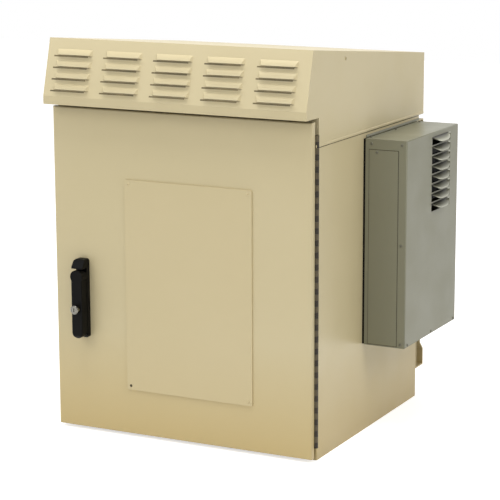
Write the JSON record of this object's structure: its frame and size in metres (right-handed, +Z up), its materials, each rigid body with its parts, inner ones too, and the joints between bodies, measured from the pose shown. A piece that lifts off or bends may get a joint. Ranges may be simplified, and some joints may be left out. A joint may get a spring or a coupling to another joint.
{
  "type": "roadside utility cabinet",
  "caption": "Outdoor sheet-metal equipment cabinet with a louvred rain hood, hinged front door, rod latch and swing handle, and a wall-hung air conditioner.",
  "frame": {"origin": "centre of the body's base, on the surface it stands on", "axes": "+Z up, the door looks towards -Y, the air conditioner hangs on the +X side"},
  "size_m": [0.7307, 0.6535, 0.853],
  "materials": {
    "cream_paint": "satin powder coat",
    "plate_paint": "satin powder coat",
    "foil": "quilted foil facing",
    "galvanised": "galvanised",
    "zinc_steel": "zinc plated",
    "cream_fastener": "satin",
    "stainless": "brushed",
    "copper": "bare copper",
    "brass": "dull",
    "red_plastic": "gloss",
    "black_foam": "matt foam rubber",
    "grey_paint": "satin powder coat",
    "black_plastic": "matt",
    "black_paint": "satin",
    "chrome_lock": "polished",
    "coil_fins": "finned",
    "black_cord": "matt"
  },
  "bodies": {
    "cabinet": {"body_shell": "cream_paint", "hood": "cream_paint", "body_lining": "foil", "rail_brackets": "cream_paint", "rack_rail_left": "galvanised", "rack_rail_right": "galvanised", "lacing_bars": "cream_paint", "ground_bar": "copper", "ground_bar_screws": "brass", "ground_bar_insulators": "red_plastic", "ground_bar_cap": "red_plastic", "junction_box": "cream_paint", "mounting_bar_upper": "cream_paint", "mounting_bar_lower": "cream_paint", "mounting_bolts": "zinc_steel", "hinge_leaf_body": "stainless", "hinge_pin": "stainless", "stay_post": "galvanised", "ac_gasket": "black_foam", "ac_base_plate": "grey_paint", "ac_cover": "grey_paint", "ac_access_panel": "grey_paint", "ac_inner_grille": "black_plastic", "ac_divider": "galvanised", "ac_coils": "coil_fins", "ac_fan_frame_cold": "black_plastic", "ac_fan_frame_warm": "black_plastic", "ac_compressor": "black_paint", "wall_bolts": "zinc_steel", "panel_screws": "cream_fastener", "cord_relief": "black_plastic", "power_cord": "black_cord", "cord_hank": "black_cord", "cord_plug": "black_plastic"},
    "door": {"door_panel": "cream_paint", "door_plate": "plate_paint", "plate_rivets": "cream_fastener", "door_gasket": "black_foam", "door_lining": "foil", "lining_pins": "zinc_steel", "hinge_leaf_door": "stainless", "stay_channel": "galvanised", "handle_base": "black_paint", "handle_rear_cover": "black_plastic", "latch_housing": "zinc_steel", "rod_guides": "galvanised"},
    "stay": {"stay_rod": "galvanised"},
    "spindle": {"handle_spindle": "zinc_steel", "latch_pinion": "zinc_steel", "spindle_nut": "zinc_steel", "grip_pin": "zinc_steel"},
    "grip": {"handle_grip": "black_paint"},
    "lock": {"lock_cylinder": "chrome_lock"},
    "rod_upper": {"latch_rod_upper": "galvanised"},
    "rod_lower": {"latch_rod_lower": "galvanised"},
    "roller_top": {"roller_upper": "black_plastic"},
    "roller_bottom": {"roller_lower": "black_plastic"},
    "fan_cold": {"ac_fan_cold": "black_plastic"},
    "fan_warm": {"ac_fan_warm": "black_plastic"}
  },
  "joints": [
    {"name": "door_hinge", "type": "hinge", "parent": "cabinet", "child": "door", "pos_m": [0.305, -0.276, 0.355], "axis": [0, 0, 1], "range_deg": [0, 119.3]},
    {"name": "stay_turn", "type": "hinge", "parent": "cabinet", "child": "stay", "pos_m": [0.211, -0.238, 0.043], "axis": [0, 0, 1], "range_deg": [0, 126]},
    {"name": "handle_turn", "type": "hinge", "parent": "door", "child": "spindle", "pos_m": [-0.235, -0.322, 0.348], "axis": [0, -1, 0], "range_deg": [0, 90]},
    {"name": "grip_lift", "type": "hinge", "parent": "spindle", "child": "grip", "pos_m": [-0.235, -0.322, 0.348], "axis": [-1, 0, 0], "range_deg": [0, 28]},
    {"name": "lock_turn", "type": "hinge", "parent": "grip", "child": "lock", "pos_m": [-0.235, -0.322, 0.278], "axis": [0, -1, 0], "range_deg": [0, 90]},
    {"name": "rod_upper_slide", "type": "slide", "parent": "door", "child": "rod_upper", "axis": [0, 0, -1], "range_m": [0, 0.0238]},
    {"name": "rod_lower_slide", "type": "slide", "parent": "door", "child": "rod_lower", "axis": [0, 0, 1], "range_m": [0, 0.0238]},
    {"name": "roller_upper_spin", "type": "hinge", "parent": "rod_upper", "child": "roller_top", "pos_m": [-0.246, -0.2552, 0.66], "axis": [1, 0, 0], "continuous": true},
    {"name": "roller_lower_spin", "type": "hinge", "parent": "rod_lower", "child": "roller_bottom", "pos_m": [-0.246, -0.2552, 0.044], "axis": [1, 0, 0], "continuous": true},
    {"name": "fan_cold_spin", "type": "hinge", "parent": "cabinet", "child": "fan_cold", "pos_m": [0.35, 0.038, 0.562], "axis": [1, 0, 0], "continuous": true},
    {"name": "fan_warm_spin", "type": "hinge", "parent": "cabinet", "child": "fan_warm", "pos_m": [0.36, 0.1527, 0.552], "axis": [1, 0, 0], "continuous": true}
  ],
  "couplings": [
    {"joint": "stay_turn", "follows": "door_hinge", "ratio": 1.0482},
    {"joint": "rod_upper_slide", "follows": "handle_turn", "m_per_rad": 0.015},
    {"joint": "rod_lower_slide", "follows": "handle_turn", "m_per_rad": 0.015}
  ]
}
